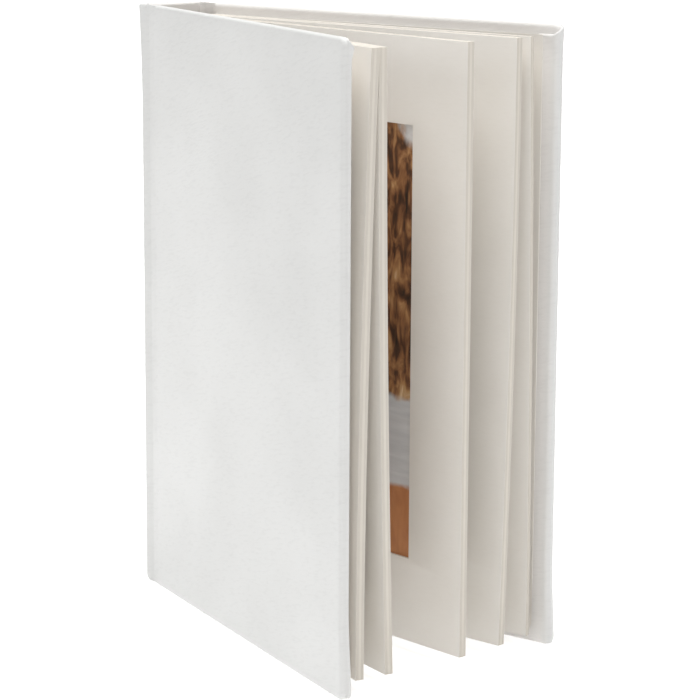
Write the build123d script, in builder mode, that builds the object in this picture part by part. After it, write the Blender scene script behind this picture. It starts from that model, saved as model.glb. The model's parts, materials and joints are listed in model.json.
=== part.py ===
"""Hard-cover photo album with matted slip-in leaves, standing half open on its lower edges."""
import os
from math import cos, radians, sin

from build123d import *

os.makedirs("parts", exist_ok=True)

# A print of 10 by 15 cm, the window that shows it and the pocket that holds it, in millimetres
print_width = 102.0
print_height = 152.0
print_thickness = 0.22
print_side_clearance = 0.5
window_overlap = 2.8
window_end_margin = 28.8
window_fore_margin = 25.0
window_gutter_margin = 18.6

# Covers and spine: leather over board
board_thickness = 2.4
skin_thickness = 0.5
turn_in = 14.0
edge_radius = 1.2
corner_radius = 3.0
pastedown_thickness = 0.6
pastedown_fore_margin = 6.3
pastedown_hinge_margin = 0.6

# Soft joints: a leather strip between the spine and each cover board
strip_thickness = 1.0
strip_width = 5.0
strip_end_margin = 1.0
joint_inset = 1.4
board_setback = 2.2
running_clearance = 0.06

# Leaves: two window mats on a core, with a print pocket behind each mat
leaf_square = 4.0
mat_thickness = 1.05
pocket_gap = 0.3
core_thickness = 0.3
endsheet_thickness = 0.75
fore_edge_trims = {"front_endleaf": 3.6}
leaf_gap = 0.3
leaf_setback = 8.0
strip_tuck = 12.0

# Rest pose: how far each cover stands open, and how far each leaf lags behind its cover
cover_rest_angle = 13.4
front_lag_angles = {"front_endleaf": 0.1, "leaf_1": 0.9, "leaf_2": 2.5}
back_lag_angles = {"leaf_3": 12.0, "leaf_4": 4.2, "back_endleaf": 1.4}
leaf_with_print = "leaf_3"

# Sizes worked out from the ones above
cover_thickness = board_thickness + 2 * skin_thickness
mat_leaf_thickness = 2 * (mat_thickness + pocket_gap) + core_thickness
endleaf_thickness = 2 * endsheet_thickness + core_thickness
leaf_names = [*front_lag_angles, *back_lag_angles]
leaf_thickness = {name: endleaf_thickness if "endleaf" in name else mat_leaf_thickness for name in leaf_names}
leaf_stack = sum(leaf_thickness.values()) + leaf_gap * (len(leaf_names) + 1)
spine_width = leaf_stack + 2 * (cover_thickness + pastedown_thickness)
strip_bead = strip_thickness / 2
hinge_x = cover_thickness / 2 + strip_bead + running_clearance
joint_y = spine_width / 2 - joint_inset
window_width = print_width - 2 * window_overlap
window_height = print_height - 2 * window_overlap
window_right = leaf_setback + window_gutter_margin + window_width
print_right = window_right + window_overlap
leaf_length = window_right + window_fore_margin
cover_length = leaf_length + leaf_square - strip_width
leaf_top = leaf_square + window_height + 2 * window_end_margin
cover_height = leaf_top + leaf_square
middle_height = cover_height / 2


def keep(part, name):
    """Label a finished piece and write it as its own file."""
    part.label = name
    export_step(part, f"parts/{name}.step")


def upright(x, y, angle, toward_front=0.0):
    """Plane of an upright panel: local X runs from its axis to its fore-edge, local Y up, local Z to the front."""
    along = (cos(radians(angle)), -sin(radians(angle)), 0)
    front = (-sin(radians(angle)), -cos(radians(angle)), 0)
    return Plane(origin=(x, y, 0), x_dir=along, z_dir=front).offset(toward_front)


def area(left, right, bottom, top, mode=Mode.ADD):
    """Draw a rectangle between two pairs of edges in the open sketch."""
    with Locations(((left + right) / 2, (bottom + top) / 2)):
        Rectangle(right - left, top - bottom, mode=mode)


def cover_area(left, right, bottom, top, radius):
    """Draw a cover's outline: square at the joint, rounded at the two fore-edge corners."""
    area(left, right, bottom, top)
    fillet(vertices().sort_by(Axis.X)[-2:], radius=radius)


# Spine: board, leather with turn-ins at head and tail, and the cloth lining between the turn-ins
spine_face = Plane(origin=(-cover_thickness / 2, 0, 0), x_dir=(0, 1, 0), z_dir=(1, 0, 0))
spine_side = spine_width / 2
spine_board_side = spine_side - skin_thickness

with BuildPart() as spine_skin:
    with BuildSketch(spine_face):
        area(-spine_side, spine_side, 0, cover_height)
    extrude(amount=cover_thickness)
    fillet(spine_skin.faces().sort_by(SortBy.AREA)[-2:].edges(), radius=edge_radius)
    with BuildSketch(spine_face.offset(skin_thickness)):
        area(-spine_board_side, spine_board_side, skin_thickness, cover_height - skin_thickness)
    extrude(amount=board_thickness, mode=Mode.SUBTRACT)
    with BuildSketch(spine_face.offset(skin_thickness + board_thickness)):
        area(-joint_y, joint_y, turn_in, cover_height - turn_in)
    extrude(amount=skin_thickness, mode=Mode.SUBTRACT)
keep(spine_skin.part, "spine_skin")

with BuildPart() as spine_board:
    with BuildSketch(spine_face.offset(skin_thickness)):
        area(-spine_board_side, spine_board_side, skin_thickness, cover_height - skin_thickness)
    extrude(amount=board_thickness)
keep(spine_board.part, "spine_board")

with BuildPart() as spine_lining:
    with BuildSketch(spine_face.offset(skin_thickness + board_thickness)):
        area(-joint_y, joint_y, turn_in, cover_height - turn_in)
    extrude(amount=skin_thickness)
keep(spine_lining.part, "spine_lining")


def hinge_strip(name, plane, width, thickness, bottom, top):
    """A flat strip along its plane's local X, with a round bead on its upright hinge axis."""
    with BuildPart() as strip:
        with BuildSketch(plane.offset(-thickness / 2)):
            area(0, width, bottom, top)
        extrude(amount=thickness)
        with BuildSketch(Plane(plane.origin).offset(bottom)):
            Circle(strip_bead)
        extrude(amount=top - bottom)
    keep(strip.part, name)


def cover(name, side):
    """A cover and its joint strip: side is 1 for the front cover and -1 for the back cover."""
    angle = side * cover_rest_angle
    joint = upright(hinge_x, -side * joint_y, angle)
    fold = joint.shift_origin(joint.from_local_coords((strip_width, 0, 0)))
    board_left = board_setback + skin_thickness
    board_right = cover_length - skin_thickness
    board_top = cover_height - skin_thickness
    lining_depth = skin_thickness + board_thickness

    def layer(depth, thickness):
        """Plane at the front side or back side of a layer that starts at this depth under the outer face."""
        near = side * (joint_inset - depth)
        far = side * (joint_inset - depth - thickness)
        return fold.offset(min(near, far))

    strip_end = strip_width - strip_bead - running_clearance
    hinge_strip(f"{name}_joint_strip", joint, strip_end, strip_thickness,
                strip_end_margin, cover_height - strip_end_margin)

    with BuildPart() as skin:
        with BuildSketch(layer(0, cover_thickness)):
            cover_area(board_setback, cover_length, 0, cover_height, corner_radius)
        extrude(amount=cover_thickness)
        fillet(skin.faces().sort_by(SortBy.AREA)[-2:].edges(), radius=edge_radius)
        with BuildSketch(layer(skin_thickness, board_thickness)):
            cover_area(board_left, board_right, skin_thickness, board_top, corner_radius - skin_thickness)
        extrude(amount=board_thickness, mode=Mode.SUBTRACT)
        with BuildSketch(layer(lining_depth, skin_thickness)):
            area(board_left, cover_length - turn_in, turn_in, cover_height - turn_in)
        extrude(amount=skin_thickness, mode=Mode.SUBTRACT)
        with BuildSketch(fold.offset(-strip_thickness / 2)):
            area(0, board_setback + skin_thickness / 2, strip_end_margin, cover_height - strip_end_margin)
        extrude(amount=strip_thickness)
        with BuildSketch(Plane(fold.origin).offset(strip_end_margin)):
            Circle(strip_bead)
        extrude(amount=cover_height - 2 * strip_end_margin)
    keep(skin.part, f"{name}_cover_skin")

    with BuildPart() as board:
        with BuildSketch(layer(skin_thickness, board_thickness)):
            cover_area(board_left, board_right, skin_thickness, board_top, corner_radius - skin_thickness)
        extrude(amount=board_thickness)
    keep(board.part, f"{name}_cover_board")

    with BuildPart() as pastedown:
        with BuildSketch(layer(lining_depth, skin_thickness)):
            area(board_left, cover_length - turn_in, turn_in, cover_height - turn_in)
        extrude(amount=skin_thickness)
        with BuildSketch(layer(cover_thickness, pastedown_thickness)):
            area(board_left + pastedown_hinge_margin, cover_length - pastedown_fore_margin, leaf_square, leaf_top)
        extrude(amount=pastedown_thickness)
    keep(pastedown.part, f"{name}_pastedown")


cover("front", 1)
cover("back", -1)


def sheet(name, plane, left, right, thickness):
    """A plain sheet of the leaf's height."""
    with BuildPart() as plain:
        with BuildSketch(plane):
            area(left, right, leaf_square, leaf_top)
        extrude(amount=thickness)
    keep(plain.part, name)


def window_mat(name, plane):
    """A mat with the window that shows the print."""
    window_bottom = middle_height - window_height / 2
    with BuildPart() as mat:
        with BuildSketch(plane):
            area(leaf_setback, leaf_length, leaf_square, leaf_top)
            area(window_right - window_width, window_right, window_bottom,
                 window_bottom + window_height, mode=Mode.SUBTRACT)
        extrude(amount=mat_thickness)
    keep(mat.part, name)


def pocket_spacer(name, plane):
    """A thin U-shaped sheet that leaves the print's pocket open at the leaf's head."""
    pocket_left = print_right - print_width - print_side_clearance
    pocket_right = print_right + print_side_clearance
    pocket_bottom = middle_height - print_height / 2 - print_side_clearance
    with BuildPart() as spacer:
        with BuildSketch(plane):
            area(leaf_setback, leaf_length, leaf_square, leaf_top)
            area(pocket_left, pocket_right, pocket_bottom, leaf_top, mode=Mode.SUBTRACT)
        extrude(amount=pocket_gap)
    keep(spacer.part, name)


def leaf(name, y, angle):
    """One leaf: hinge strip, core, and either two mats with their pockets or two plain sheets."""
    middle = upright(hinge_x, y, angle)
    core_left = leaf_setback + strip_tuck
    fore_edge = leaf_length - fore_edge_trims.get(name, 0)
    half_core = core_thickness / 2
    hinge_strip(f"{name}_hinge_strip", middle, core_left, core_thickness, leaf_square, leaf_top)
    sheet(f"{name}_core", middle.offset(-half_core), core_left, fore_edge, core_thickness)
    if "endleaf" in name:
        verso_plane = middle.offset(-half_core - endsheet_thickness)
        sheet(f"{name}_recto_sheet", middle.offset(half_core), leaf_setback, fore_edge, endsheet_thickness)
        sheet(f"{name}_verso_sheet", verso_plane, leaf_setback, fore_edge, endsheet_thickness)
        return
    pocket_spacer(f"{name}_recto_spacer", middle.offset(half_core))
    pocket_spacer(f"{name}_verso_spacer", middle.offset(-half_core - pocket_gap))
    window_mat(f"{name}_recto_mat", middle.offset(half_core + pocket_gap))
    window_mat(f"{name}_verso_mat", middle.offset(-half_core - pocket_gap - mat_thickness))
    if name == leaf_with_print:
        slack = pocket_gap - print_thickness
        with BuildPart() as photo_print:
            with BuildSketch(middle.offset(half_core + slack / 2)):
                area(print_right - print_width, print_right,
                     middle_height - print_height / 2, middle_height + print_height / 2)
            extrude(amount=print_thickness)
        keep(photo_print.part, "photo_print")


# Leaves from front to back, evenly stacked along the spine
rest_angles = {name: cover_rest_angle - lag for name, lag in front_lag_angles.items()}
rest_angles.update({name: lag - cover_rest_angle for name, lag in back_lag_angles.items()})
stack_y = -leaf_stack / 2
for leaf_name, leaf_angle in rest_angles.items():
    leaf_middle = stack_y + leaf_gap + leaf_thickness[leaf_name] / 2
    leaf(leaf_name, leaf_middle, leaf_angle)
    stack_y = leaf_middle + leaf_thickness[leaf_name] / 2
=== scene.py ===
import json
from math import cos, exp, pi, radians, sin

import bmesh
import bpy
from mathutils import Matrix, Vector, noise


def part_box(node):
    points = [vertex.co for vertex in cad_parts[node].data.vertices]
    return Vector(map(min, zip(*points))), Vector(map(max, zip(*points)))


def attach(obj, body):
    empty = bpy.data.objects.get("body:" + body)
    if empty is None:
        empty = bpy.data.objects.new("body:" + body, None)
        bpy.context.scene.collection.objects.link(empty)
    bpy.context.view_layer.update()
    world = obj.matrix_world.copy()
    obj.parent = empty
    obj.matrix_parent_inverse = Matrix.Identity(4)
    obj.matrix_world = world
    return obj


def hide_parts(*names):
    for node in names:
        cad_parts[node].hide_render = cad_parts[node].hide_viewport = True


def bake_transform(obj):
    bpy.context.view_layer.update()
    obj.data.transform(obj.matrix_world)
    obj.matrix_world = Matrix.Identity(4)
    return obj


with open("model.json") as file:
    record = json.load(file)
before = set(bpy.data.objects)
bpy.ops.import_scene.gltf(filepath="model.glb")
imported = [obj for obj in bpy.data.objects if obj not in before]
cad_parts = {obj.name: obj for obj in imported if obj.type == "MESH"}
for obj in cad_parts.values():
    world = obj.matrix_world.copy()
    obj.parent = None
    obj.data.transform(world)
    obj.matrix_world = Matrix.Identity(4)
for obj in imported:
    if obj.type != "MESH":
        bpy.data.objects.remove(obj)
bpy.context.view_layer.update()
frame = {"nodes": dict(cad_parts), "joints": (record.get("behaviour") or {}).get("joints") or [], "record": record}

MM = 0.001


# Spine: a strip of grey board in white leather, which is turned in at head and tail and runs on
# over both joints. So each half of the leather is one piece with the first half of its joint strip,
# and it bends where that strip leaves the board.
class Wire:
    """A shader socket. Arithmetic on it adds Math nodes, and node() adds any other node."""

    def __init__(self, tree, socket=None):
        self.tree = tree
        self.socket = socket

    def node(self, kind, settings=None, sockets=None, output=0):
        """One output of a new node with the given settings and sockets."""
        made = self.tree.nodes.new(kind)
        for name, value in (settings or {}).items():
            if name == "stops":
                stops = made.color_ramp.elements
                stops[0].position, stops[0].color = value[0]
                stops[1].position, stops[1].color = value[-1]
                for position, colour in value[1:-1]:
                    stops.new(position).color = colour
            else:
                setattr(made, name, value)
        for key, value in (sockets or {}).items():
            if isinstance(value, Wire):
                self.tree.links.new(value.socket, made.inputs[key])
            else:
                made.inputs[key].default_value = value
        return Wire(self.tree, made.outputs[output] if made.outputs else None)

    def math(self, operation, first, second=0.0):
        return self.node("ShaderNodeMath", {"operation": operation}, {0: first, 1: second})

    def __add__(self, other):
        return self.math("ADD", self, other)

    def __sub__(self, other):
        return self.math("SUBTRACT", self, other)

    def __mul__(self, other):
        return self.math("MULTIPLY", self, other)

    __radd__ = __add__
    __rmul__ = __mul__

    def between(self, low, high):
        """0 at low, 1 at high and a smooth step in between."""
        return self.node("ShaderNodeMapRange", {"interpolation_type": "SMOOTHSTEP"},
                         {"Value": self, "From Min": low, "From Max": high})

    def tint(self, first, second):
        """The first colour where this is 0 and the second where it is 1."""
        return self.node("ShaderNodeMix", {"data_type": "RGBA"}, {0: self, 6: first, 7: second}, 2)

    def place(self):
        """The point that is shaded, in the object's own coordinates."""
        return self.node("ShaderNodeTexCoord", output="Object")

    def attribute(self, name):
        """A number that the mesh keeps at its points."""
        return self.node("ShaderNodeAttribute", {"attribute_name": name}, output=2)

    def part(self, number):
        """One of the three coordinates of this point."""
        return self.node("ShaderNodeSeparateXYZ", sockets={"Vector": self}, output=number)

    def stretch(self, factors):
        """This point with its coordinates multiplied."""
        return self.node("ShaderNodeMapping", sockets={"Vector": self, "Scale": factors})

    def noise(self, scale, detail, **more):
        """Noise at this point."""
        sockets = {"Vector": self, "Scale": scale, "Detail": detail, **more}
        return self.node("ShaderNodeTexNoise", sockets=sockets)

    def bump(self, strength, distance):
        """The normal of a surface with this height."""
        sockets = {"Strength": strength, "Distance": distance, "Height": self}
        return self.node("ShaderNodeBump", sockets=sockets)


def wire_into(owner):
    """A wire into the emptied node tree of a material or a world."""
    owner.use_nodes = True
    owner.node_tree.nodes.clear()
    return Wire(owner.node_tree)


def finish(name, sockets_of):
    """A material with one Principled shader, whose sockets the given function works out."""
    material = bpy.data.materials.new(name)
    wire = wire_into(material)
    shader = wire.node("ShaderNodeBsdfPrincipled", sockets=sockets_of(wire))
    wire.node("ShaderNodeOutputMaterial", sockets={"Surface": shader})
    return material


def leather_sockets(wire):
    """Fine pebbled grain under short creases that rise outwards, with painted shade in the crease hollows and a
    paler colour painted on the inner faces as fill light.
    """
    place = wire.place()
    tilt = (0, radians(14), 0)
    tilted = wire.node("ShaderNodeMapping", sockets={"Vector": place, "Rotation": tilt})
    crease = tilted.stretch((260, 260, 1150)).noise(1.0, 3.0, Roughness=0.55)
    pebble = wire.node("ShaderNodeTexVoronoi", {"feature": "SMOOTH_F1"},
                       {"Vector": place, "Scale": 1300.0, "Smoothness": 0.6})
    cloud = place.noise(28.0, 3.0)
    # Painted shade: the colour darkens in the crease hollows, where shade falls.
    painted_crease_shade = crease.between(0.52, 0.30)
    height = crease.between(0.25, 0.7) * 0.8 + pebble * 0.45 + cloud * 0.5
    shade = painted_crease_shade * 0.6 + cloud.between(0.35, 0.7) * 0.4
    # Painted light: where the attribute marks an inner face, the paler second tone stands in for fill light; the
    # first tone is the plain leather.
    base_tone = shade.tint((0.805, 0.805, 0.79, 1), (0.757, 0.757, 0.742, 1))
    painted_light_tone = shade.tint((0.90, 0.876, 0.85, 1), (0.86, 0.836, 0.81, 1))
    return {"Base Color": wire.attribute("sheltered").tint(base_tone, painted_light_tone),
            "Roughness": 0.5 + 0.14 * cloud - 0.08 * pebble,
            "Normal": height.bump(0.4, 0.1 * MM)}


leather = finish("white_leather_grain", leather_sockets)


def piece(bm, name, material, smooth_below=35):
    """A finished piece from a bmesh: smooth over bends below the given angle, sharp over others."""
    mesh = bpy.data.meshes.new(name)
    bm.to_mesh(mesh)
    bm.free()
    mesh.shade_smooth()
    mesh.set_sharp_from_angle(angle=radians(smooth_below))
    mesh.materials.append(material)
    made = bpy.data.objects.new(name, mesh)
    bpy.context.scene.collection.objects.link(made)
    return made


def block(low, high):
    """A bmesh of one box between two corners."""
    bm = bmesh.new()
    bmesh.ops.create_cube(bm, size=1.0)
    bmesh.ops.scale(bm, vec=Vector(high) - Vector(low), verts=bm.verts)
    bmesh.ops.translate(bm, vec=(Vector(low) + Vector(high)) / 2, verts=bm.verts)
    return bm


def cut(bm, point, normal):
    """Divide every face that a plane crosses."""
    bmesh.ops.bisect_plane(bm, geom=[*bm.verts, *bm.edges, *bm.faces], dist=1e-7,
                           plane_co=point, plane_no=normal)


def cut_level(bm, heights):
    """Divide the faces at heights in millimetres."""
    for height in heights:
        cut(bm, (0, 0, height * MM), (0, 0, 1))


def middle(part):
    """Middle of an edge or face."""
    return sum((vert.co for vert in part.verts), Vector()) / len(part.verts)


def soften(bm, radius, segments, where=lambda point: True):
    """Round the edges that bend by more than 50 degrees and whose middle is where it is wanted."""
    edges = [edge for edge in bm.edges
             if edge.calc_face_angle(0) > radians(50) and where(middle(edge))]
    bmesh.ops.bevel(bm, geom=edges, offset=radius, offset_type="OFFSET", affect="EDGES",
                    segments=segments, profile=0.5, material=-1, clamp_overlap=True)


def pull(bm, face, move, turn=0.0, stretch=(1, 1, 1)):
    """Extrude one face, then stretch, turn and move its far end; returns the far face."""
    made = bmesh.ops.extrude_face_region(bm, geom=[face])["geom"]
    bmesh.ops.delete(bm, geom=[face], context="FACES_ONLY")
    far = next(part for part in made if isinstance(part, bmesh.types.BMFace))
    centre = middle(far)
    bmesh.ops.scale(bm, vec=stretch, space=Matrix.Translation(-centre), verts=far.verts)
    bmesh.ops.rotate(bm, cent=centre, matrix=Matrix.Rotation(turn, 3, "Z"), verts=far.verts)
    bmesh.ops.translate(bm, vec=move, verts=far.verts)
    return far


def for_side(bm, side):
    """The same shape for the front of the album, or its mirror image for the back."""
    if side == "back":
        bmesh.ops.scale(bm, vec=(1, -1, 1), verts=bm.verts)
        bmesh.ops.reverse_faces(bm, faces=bm.faces)
    return bm


def limited(value):
    """The value, but not below 0 or above 1."""
    return min(max(value, 0), 1)


joints = {joint["name"]: joint for joint in frame["joints"]}
joint_axis = Vector(joints["front_joint_fold"]["pos_m"])
cover_axis = Vector(joints["front_cover_fold"]["pos_m"])
along = (cover_axis - joint_axis).normalized()
inward = Vector((-along.y, along.x, 0))
half_strip = (cover_axis - joint_axis) / 2
cover_turn = along.xy.angle_signed((1, 0))
spine_low, spine_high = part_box("spine_skin")
touching = 1e-6
tail_radius = 2.6 * MM
edge_radius = 1.1 * MM
head_radius = 1.25 * MM
flare_height = 42 * MM
flare_depth = 1.8 * MM
flare_levels = (174, 182, 189, 195, 200, 205)
strip_root_margin = 1.3 * MM
strip_end_margin = 0.25 * MM
strip_outer = 1.4 * MM
strip_inner = 0.5 * MM
strip_dip = 0.4 * MM
strip_edge_radius = 0.3 * MM
strip_thickness = strip_outer + strip_inner
strip_inside = joint_axis.y + strip_inner
strip_steps = 6
dip_steps = 3
# Depth over which the painted fill light on the inner leather faces fades in.
painted_light_depth = 0.4 * MM

for side in ("front", "back"):
    bm = block((spine_low.x, spine_low.y, 0), (spine_high.x, 0, spine_high.z))
    soften(bm, tail_radius, 6,
           where=lambda point: point.x < spine_low.x + touching and point.z < touching)
    soften(bm, edge_radius, 5,
           where=lambda point: point.y < -touching and point.x < spine_high.x - touching)
    cut(bm, (0, strip_inside, 0), (0, 1, 0))
    for z in (strip_root_margin, spine_high.z - strip_root_margin):
        cut(bm, (0, 0, z), (0, 0, 1))
    strip_root = Vector((spine_high.x, joint_axis.y, spine_high.z / 2))
    root = min((face for face in bm.faces if face.normal.x > 0.9),
               key=lambda face: (middle(face) - strip_root).length)
    end = pull(bm, root, (joint_axis.x - spine_high.x, 0, 0), cover_turn / 2,
               (1, 1, 1 - 2 * (strip_end_margin - strip_root_margin) / spine_high.z))
    for step in range(strip_steps):
        dip = strip_dip / dip_steps if step < dip_steps else 0
        thinner = 1 - dip / (strip_thickness - min(step, dip_steps - 1) * dip)
        end = pull(bm, end, half_strip / strip_steps + inward * dip / 2,
                   cover_turn / 2 if step == 0 else 0, (1, thinner, 1))
    strip_end = joint_axis.x + half_strip.x - 10 * touching
    soften(bm, strip_edge_radius, 3,
           where=lambda point: spine_high.x + touching < point.x < strip_end)
    soften(bm, head_radius, 5,
           where=lambda point: abs(point.x - spine_high.x) < touching
           and point.z > spine_high.z - touching and point.y > strip_inside)
    bmesh.ops.remove_doubles(bm, verts=bm.verts, dist=touching)
    cut_level(bm, flare_levels)
    # Painted light: this attribute marks the inner faces, which get a paler leather colour as painted fill light.
    painted_light_layer = bm.verts.layers.float.new("sheltered")
    for vert in bm.verts:
        inside = min((vert.co - joint_axis).dot(inward), vert.co.x)
        vert[painted_light_layer] = limited(inside / painted_light_depth)
        near_head = max(1 - (spine_high.z - vert.co.z) / flare_height, 0) ** 2
        outside = max((spine_high.x - vert.co.x) / (spine_high.x - spine_low.x), 0)
        vert.co.x -= flare_depth * near_head * outside
    half = piece(for_side(bm, side), f"{side}_half_of_spine_leather", leather)
    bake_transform(half)
    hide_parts("spine_skin", f"{side}_joint_strip")


# Cover leather: one sheet over the outer face of the board, wrapped round head, tail and fore-edge
# and glued down inside. At the joint it thins down to the strip between board and spine.
cover_outer = -1.4 * MM
cover_inner = 1.85 * MM
cover_thickness = cover_inner - cover_outer
cover_left = 3.0 * MM
cover_right = 146.9 * MM
cover_height = spine_high.z
cover_corner_radius = 3.0 * MM
cover_inner_radius = 1.8 * MM
cover_outer_radius = 1.3 * MM
cover_levels = (5, 9, 13, 17, 22, 28, 100, 170, 201, 205, 208)
cover_insets = (3, 6, 10, 18, 60)
strip_left = 0.9 * MM
strip_middle = (strip_inner - strip_outer + strip_dip) / 2
bulk_width = 18 * MM
low_bulk_height = 30 * MM
low_bulk_out = 1.5 * MM
low_bulk_in = 0.75 * MM
high_bulk_height = 11 * MM
high_bulk_out = 0.8 * MM
high_bulk_in = 0.3 * MM
to_cover = Matrix.Translation(cover_axis) @ Matrix((along, inward, (0, 0, 1))).transposed().to_4x4()


def corner_bulk(bm):
    """Push the fore-edge out and inwards near its corners, where the leather is folded over."""
    for vert in bm.verts:
        near_edge = limited((vert.co.x - cover_right) / bulk_width + 1) ** 2
        low = max(1 - vert.co.z / low_bulk_height, 0) ** 1.5 * near_edge
        high = max(1 - (cover_height - vert.co.z) / high_bulk_height, 0) ** 2 * near_edge
        inside = (vert.co.y - cover_outer) / cover_thickness
        vert.co.x += low_bulk_out * low + high_bulk_out * high
        vert.co.y += (low_bulk_in * low + high_bulk_in * high) * inside


for side in ("front", "back"):
    bm = block((cover_left, cover_outer, 0), (cover_right, cover_inner, cover_height))
    soften(bm, cover_corner_radius, 6,
           where=lambda point: point.x > cover_right - touching and abs(point.y) < MM)
    root = next(face for face in bm.faces if face.normal.x < -0.9)
    to_strip = (strip_left - cover_left, strip_middle - (cover_outer + cover_inner) / 2, 0)
    end = pull(bm, root, to_strip, 0, (1, (strip_thickness - strip_dip) / cover_thickness,
                                       1 - 2 * strip_end_margin / cover_height))
    step_length = (strip_left + half_strip.length) / strip_steps
    for step in range(strip_steps):
        end = pull(bm, end, (-step_length, 0, 0))
    soften(bm, cover_inner_radius, 6,
           where=lambda point: point.x > cover_left + touching and point.y > 0)
    soften(bm, cover_outer_radius, 5, where=lambda point: point.x > cover_left + touching)
    soften(bm, strip_edge_radius, 3,
           where=lambda point: -half_strip.length + touching < point.x < cover_left - touching)
    cut_level(bm, cover_levels)
    for inset in cover_insets:
        cut(bm, (cover_right - inset * MM, 0, 0), (1, 0, 0))
    # Painted light: this attribute marks the inner face, which gets a paler leather colour as painted fill light.
    painted_light_layer = bm.verts.layers.float.new("sheltered")
    for vert in bm.verts:
        vert[painted_light_layer] = limited(vert.co.y / painted_light_depth)
    corner_bulk(bm)
    bmesh.ops.transform(bm, matrix=to_cover, verts=bm.verts)
    skin = piece(for_side(bm, side), f"{side}_cover_leather", leather)
    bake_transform(skin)
    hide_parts(f"{side}_cover_skin")


# Fore-edge turn-in: the last flap of leather to be glued down. It comes round the fore-edge over
# the flaps of head and tail. Its lower end lies flat, and its upper end is rolled under and stands
# open a little at the folded corner.
flap_left = 139.0 * MM
flap_inner = 2.03 * MM
flap_bend = 145.1 * MM
flap_radius = 1.85 * MM
flap_thickness = 0.35 * MM
flap_tail = 1.0 * MM
flap_columns = 18
flap_rows = 110
flat_length = flap_bend - flap_left
bend_length = flap_radius * pi / 2
roll_radius = 0.42 * MM
roll_angle = radians(190)
roll_rows = 12
below_head = 4.1 * MM
climb = 3.1 * MM
mouth_depth = 0.5 * MM
mouth_height = 2.2 * MM
wrinkle_depth = 0.12 * MM
wrinkle_length = 2.2 * MM
wrinkle_reach = 9 * MM
sink_depth = 0.3 * MM
sink_height = 0.9 * MM
tuck = 0.3 * MM

for side in ("front", "back"):
    bm = bmesh.new()
    bmesh.ops.create_grid(bm, x_segments=flap_columns, y_segments=flap_rows + roll_rows, size=0.5)
    # Painted light: the flat inner part of the flap gets the paler leather colour as painted fill light, and the
    # rolled edge does not.
    painted_light_layer = bm.verts.layers.float.new("sheltered")
    for vert in bm.verts:
        share = vert.co.x + 0.5
        vert[painted_light_layer] = limited((0.85 - share) / 0.4)
        row = (vert.co.y + 0.5) * (flap_rows + roll_rows)
        rise = (1 - cos(pi * min(row / flap_rows, 1))) / 2
        roll = roll_angle * max(row - flap_rows, 0) / roll_rows
        to_corner = max(0, (share - 0.6) / 0.4)
        flap_head = cover_height - (below_head - climb * to_corner ** 1.4) - roll_radius
        height = flap_tail + (flap_head - flap_tail) * rise + roll_radius * sin(roll)
        to_head = max(flap_head - height, 0)
        to_tail = height - flap_tail
        open_share = sin(pi * max(share - 0.3, 0) / 0.7) ** 0.7
        mouth = mouth_depth * exp(-(to_head / mouth_height) ** 2) * open_share
        wave = 0.5 + 0.5 * noise.noise(Vector((share * 3, height / wrinkle_length, 3.0)))
        near_end = exp(-min(to_tail, to_head) / wrinkle_reach)
        wrinkle = wrinkle_depth * near_end * wave * sin(pi * share)
        sink = sink_depth * exp(-(to_tail / sink_height) ** 2)
        lift = mouth + wrinkle - sink - roll_radius * (1 - cos(roll))
        across = share * (flat_length + bend_length)
        if across < flat_length:
            vert.co = (flap_left + across, flap_inner + lift, height)
        else:
            angle = (across - flat_length) / flap_radius
            radius = flap_radius + lift - tuck * (angle * 2 / pi) ** 4
            centre = flap_inner - flap_radius
            vert.co = (flap_bend + radius * sin(angle), centre + radius * cos(angle), height)
    corner_bulk(bm)
    bmesh.ops.recalc_face_normals(bm, faces=bm.faces)
    bmesh.ops.solidify(bm, geom=bm.faces, thickness=flap_thickness)
    bmesh.ops.recalc_face_normals(bm, faces=bm.faces)
    bmesh.ops.transform(bm, matrix=to_cover, verts=bm.verts)
    flap = piece(for_side(bm, side), f"{side}_cover_fore_edge_turn_in", leather, 50)
    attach(flap, f"{side}_cover")


# Boards inside the covers and the spine: pressed grey board with pale flecks of its waste paper.
# Their edges are eased, so that the leather goes round them softly.
def board_sockets(wire):
    """Pressed grey pulp with flecks."""
    place = wire.place()
    pulp = place.noise(900.0, 5.0)
    fleck = place.noise(260.0, 2.0).between(0.62, 0.7)
    greys = [(0.3, (0.16, 0.15, 0.135, 1)), (0.7, (0.27, 0.255, 0.23, 1))]
    grey = wire.node("ShaderNodeValToRGB", {"stops": greys}, {"Fac": pulp})
    return {"Base Color": (fleck * 0.5).tint(grey, (0.45, 0.43, 0.39, 1)),
            "Roughness": 0.85 + 0.1 * pulp,
            "Normal": pulp.bump(0.3, 0.1 * MM)}


grey_board = finish("pressed_grey_board", board_sockets)
board_edge_radius = 1.18 * MM


def copy_of(node):
    """A bmesh of a node with its corners joined and its flat sides whole."""
    bm = bmesh.new()
    bm.from_mesh(frame["nodes"][node].data)
    bmesh.ops.remove_doubles(bm, verts=bm.verts, dist=touching)
    bmesh.ops.dissolve_limit(bm, angle_limit=radians(1), verts=bm.verts, edges=bm.edges)
    return bm


for body in ("spine", "front_cover", "back_cover"):
    bm = copy_of(f"{body}_board")
    soften(bm, board_edge_radius, 4)
    board = piece(bm, f"{body}_eased_board", grey_board)
    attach(board, body)
    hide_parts(f"{body}_board")


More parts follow.
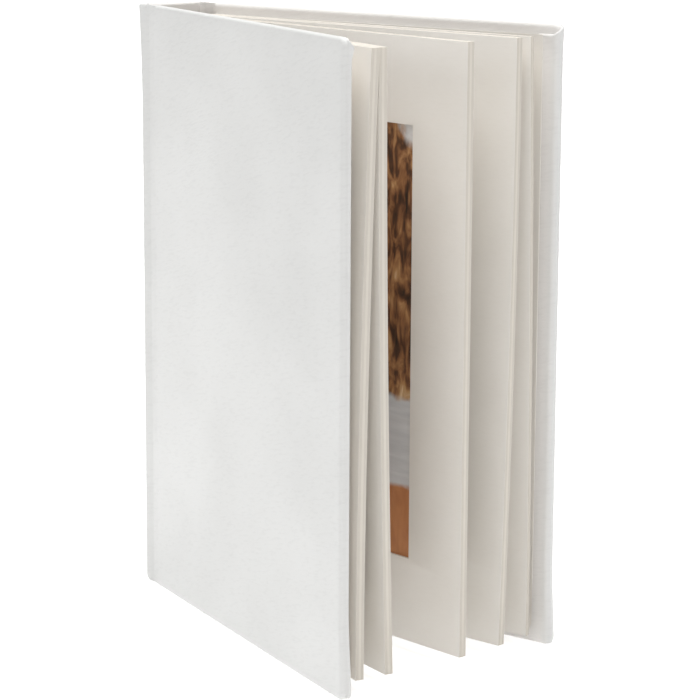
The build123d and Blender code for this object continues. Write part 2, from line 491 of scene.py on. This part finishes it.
# Spine lining and leaf hinges: thin ivory book cloth in a plain weave of two threads a millimetre.
# The lining is glued to the inside of the spine, and one edge of each hinge strip is glued into a
# leaf.
def cloth_sockets(across_of):
    """Plain weave, with threads upright and along the direction that the given function reads."""
    def sockets(wire):
        place = wire.place()
        weft = wire.math("SINE", place.part(2) * (2000 * pi))
        warp = wire.math("SINE", across_of(place) * (2 * pi))
        weave = weft * warp * 0.5 + 0.5
        slub = place.noise(300.0, 3.0)
        shade = weave * 0.6 + slub * 0.4
        return {"Base Color": shade.tint((0.62, 0.565, 0.47, 1), (0.78, 0.73, 0.63, 1)),
                "Roughness": 0.8 + 0.15 * slub,
                "Normal": (weave + slub * 0.3).bump(0.5, 0.1 * MM)}
    return sockets


def across_lining(place):
    """Millimetres across the spine."""
    return place.part(1) * 1000


def across_leaf(place):
    """Millimetres from the hinge towards the fore-edge."""
    return place.attribute("reach")


def dress(node, material):
    """Give a CAD node its material."""
    frame["nodes"][node].data.materials.clear()
    frame["nodes"][node].data.materials.append(material)


hinge_cloth = finish("leaf_hinge_cloth", cloth_sockets(across_leaf))
dress("spine_lining", finish("spine_lining_cloth", cloth_sockets(across_lining)))


# Pastedowns: an ivory card glued to the inside of each cover, over the edges of the turn-ins. The
# same card makes the mats of the leaves, where its cut edges are creamier than its faces.
def card_sockets(wire):
    """Mottled ivory card, paler away from the fore-edge as painted fill light deep between the leaves, with plies
    along its cut edges.
    """
    place = wire.place()
    mottle = place.noise(45.0, 4.0)
    tooth = place.noise(2200.0, 3.0)
    fibre = place.stretch((350, 350, 1500)).noise(1.0, 2.0)
    depth = wire.attribute("depth")
    ply = wire.math("SINE", depth * 15.0).between(0.4, 1.0)
    shade = mottle.between(0.3, 0.7) * 0.5 + fibre.between(0.4, 0.75) * 0.3
    base_tone = shade.tint((0.905, 0.870, 0.815, 1), (0.87, 0.832, 0.772, 1))
    painted_light_tone = shade.tint((0.955, 0.926, 0.878, 1), (0.925, 0.893, 0.842, 1))
    # Painted light: the face turns paler away from the fore-edge and stands in for fill light deep between the
    # leaves.
    face = place.part(0).between(147 * MM, 122 * MM).tint(base_tone, painted_light_tone)
    edge = (shade * 0.5 + ply * 0.5).tint((0.745, 0.695, 0.62, 1), (0.69, 0.637, 0.56, 1))
    return {"Base Color": depth.between(0.02, 0.10).tint(face, edge),
            "Roughness": 0.82 + 0.12 * mottle,
            "Normal": (tooth + fibre * 0.7).bump(0.35, 0.05 * MM)}


card = finish("ivory_mat_card", card_sockets)
for side in ("front", "back"):
    dress(f"{side}_pastedown", card)


# Leaves: on each, two window mats, or two plain sheets on an endleaf, are glued to a paper core. In
# a mat leaf U-shaped paper spacers lie between. Each leaf hangs from the spine by a cloth strip,
# and the limp ones lean a little towards one end.
def paper_sockets(wire):
    """Smooth ivory paper."""
    place = wire.place()
    cloud = place.noise(120.0, 4.0)
    tooth = place.noise(3000.0, 2.0)
    return {"Base Color": cloud.tint((0.84, 0.79, 0.71, 1), (0.78, 0.73, 0.645, 1)),
            "Roughness": 0.75 + 0.15 * cloud,
            "Normal": tooth.bump(0.2, 0.03 * MM)}


paper = finish("ivory_core_paper", paper_sockets)
leaf_finish = {"mat": (card, "ivory_card"), "sheet": (card, "ivory_card"),
               "spacer": (paper, "ivory_paper"), "core": (paper, "ivory_paper"),
               "strip": (hinge_cloth, "ivory_cloth")}
card_edge_radius = 0.08 * MM
slices = 16
# Heights at which a limp leaf would stay square to the spine and at which it follows its hinge.
hang_from = {"front_endleaf": (-1.978, 0.212), "leaf_1": (0.918, 0.0), "leaf_2": (-0.70, 0.225),
             "leaf_4": (-0.536, 0.212), "back_endleaf": (0.972, 0.0)}

for leaf in ("front_endleaf", "leaf_1", "leaf_2", "leaf_3", "leaf_4", "back_endleaf"):
    hinge = joints[f"{leaf}_hinge"]
    axis = Vector(hinge["pos_m"])
    sense = hinge["axis"][2]
    rest_angle = -radians(hinge["range_deg"][0])
    reach = Vector((cos(rest_angle), sense * sin(rest_angle), 0))
    front = Vector((sense * sin(rest_angle), -cos(rest_angle), 0))
    far, near = hang_from.get(leaf, (0.0, 0.0))
    for node in frame["record"]["behaviour"]["bodies"][leaf]:
        kind = node.rsplit("_", 1)[1]
        bm = copy_of(node)
        if kind in ("mat", "sheet"):
            soften(bm, card_edge_radius, 2)
        low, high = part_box(node)
        for number in range(1, slices):
            cut(bm, low.lerp(high, number / slices), (0, 0, 1))
        depth_layer = bm.verts.layers.float.new("depth")
        reach_layer = bm.verts.layers.float.new("reach")
        half_thickness = max(abs((vert.co - axis).dot(front)) for vert in bm.verts)
        for vert in bm.verts:
            from_axis = vert.co - axis
            vert[depth_layer] = (half_thickness - abs(from_axis.dot(front))) / MM
            vert[reach_layer] = from_axis.dot(reach) / MM
            if leaf in hang_from:
                share = (vert.co.z - far) / (near - far)
                follows = share * share * (3 - 2 * share)
                turn = Matrix.Rotation(sense * rest_angle * (follows - 1), 3, "Z")
                vert.co = axis + turn @ from_axis
        material, slot = leaf_finish[kind]
        made = piece(bm, f"limp_{node}" if leaf in hang_from else f"flat_{node}", material)
        if leaf in hang_from:
            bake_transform(made)
        else:
            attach(made, leaf)
        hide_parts(node)


# Print: a glossy colour print on white photographic paper, with an autumn lake side on it. It
# stands loose in the recto pocket of the third leaf.
print_low, print_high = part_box("photo_print")


def print_sockets(wire):
    """Brown trees over a pale lake and a sandy bank, on the front of a white sheet."""
    place = wire.place()
    facing = wire.node("ShaderNodeTexCoord", output="Normal")
    front_side = facing.part(1).between(-0.4, -0.6)
    up = (place.part(2) - print_low.z) * (1 / (print_high.z - print_low.z))
    right = (place.part(0) - print_low.x) * (1 / (print_high.x - print_low.x))
    clump = place.noise(60.0, 5.0, Distortion=0.6)
    leafage = place.stretch((270, 270, 95)).noise(1.0, 4.0, Distortion=0.9)
    browns = [(0.36, (0.022, 0.013, 0.009, 1)), (0.45, (0.120, 0.052, 0.024, 1)),
              (0.52, (0.330, 0.150, 0.062, 1)), (0.60, (0.560, 0.310, 0.140, 1)),
              (0.70, (0.860, 0.640, 0.390, 1))]
    trees = wire.node("ShaderNodeValToRGB", {"stops": browns},
                      {"Fac": leafage * 0.65 + clump * 0.35})
    ripple = place.stretch((60, 60, 500)).noise(1.0, 3.0)
    lake = ripple.tint((0.88, 0.89, 0.91, 1), (0.60, 0.61, 0.635, 1))
    bank = leafage.tint((0.76, 0.35, 0.155, 1), (0.46, 0.17, 0.068, 1))
    sky = clump.tint((0.93, 0.93, 0.93, 1), (0.82, 0.83, 0.84, 1))
    crown = (clump * 0.3 - up - right * 1.4).between(-2.08, -2.14)
    shore = (up + clump * 0.10).between(0.415, 0.44)
    above_sand = (up + clump * 0.08 + right * 0.03).between(0.235, 0.25)
    picture = above_sand.tint(bank, shore.tint(lake, crown.tint(trees, sky)))
    return {"Base Color": front_side.tint((0.82, 0.82, 0.80, 1), picture),
            "Roughness": 0.26 + 0.06 * clump}


dress("photo_print", finish("glossy_lake_print", print_sockets))


# Studio: a plain white floor that is pure white to the camera away from the album, a large soft box
# overhead, a weak one at the right, and faint light from all round.
floor_mesh = bmesh.new()
bmesh.ops.create_grid(floor_mesh, x_segments=1, y_segments=1, size=8.0)
floor_material = bpy.data.materials.new("white_floor")
wire = wire_into(floor_material)
seen = wire.node("ShaderNodeLightPath", output="Is Camera Ray")
mirrored = wire.node("ShaderNodeLightPath", output="Is Glossy Ray")
white = wire.node("ShaderNodeBsdfDiffuse", sockets={"Color": (0.88, 0.88, 0.88, 1)})
from_album = wire.node("ShaderNodeVectorMath", {"operation": "LENGTH"}, {0: wire.place()}, "Value")
strength = seen * (from_album.between(0.2, 0.5) + 0.44) + mirrored * 2.0 + 0.2
glow = wire.node("ShaderNodeEmission", sockets={"Strength": strength})
lit = wire.node("ShaderNodeAddShader", sockets={0: white, 1: glow})
wire.node("ShaderNodeOutputMaterial", sockets={"Surface": lit})
floor = piece(floor_mesh, "floor", floor_material)

world = bpy.data.worlds.new("studio")
wire = wire_into(world)
seen = wire.node("ShaderNodeLightPath", output="Is Camera Ray")
all_round = wire.node("ShaderNodeBackground",
                      sockets={"Color": (1, 1, 1, 1), "Strength": seen * 0.8 + 0.28})
wire.node("ShaderNodeOutputWorld", sockets={"Surface": all_round})
bpy.context.scene.world = world

lamp_target = Vector((0.05, 0, 0.1))
for name, position, size, power in (("overhead", Vector((0.15, -0.1, 1.7)), 1.6, 33.0),
                                    ("right", Vector((1.7, 0.3, 0.6)), 1.0, 0.7)):
    light = bpy.data.lights.new(name, "AREA")
    light.size = size
    light.energy = power
    lamp = bpy.data.objects.new(name, light)
    lamp.location = position
    lamp.rotation_euler = (lamp_target - position).to_track_quat("-Z", "Y").to_euler()
    bpy.context.scene.collection.objects.link(lamp)

camera_data = bpy.data.cameras.new("camera")
camera_data.sensor_width = 36.0
camera_data.lens = 139.97
camera = bpy.data.objects.new("camera", camera_data)
camera.location = (0.78127, -0.58979, 0.28345)
heading = Matrix.Rotation(radians(49.189), 3, "Z")
pitch = Matrix.Rotation(radians(90 - 11.451), 3, "X")
tilt = Matrix.Rotation(radians(0.321), 3, "Z")
camera.rotation_euler = (heading @ pitch @ tilt).to_euler()
bpy.context.scene.collection.objects.link(camera)
bpy.context.scene.camera = camera
bpy.context.scene.view_settings.view_transform = "Standard"
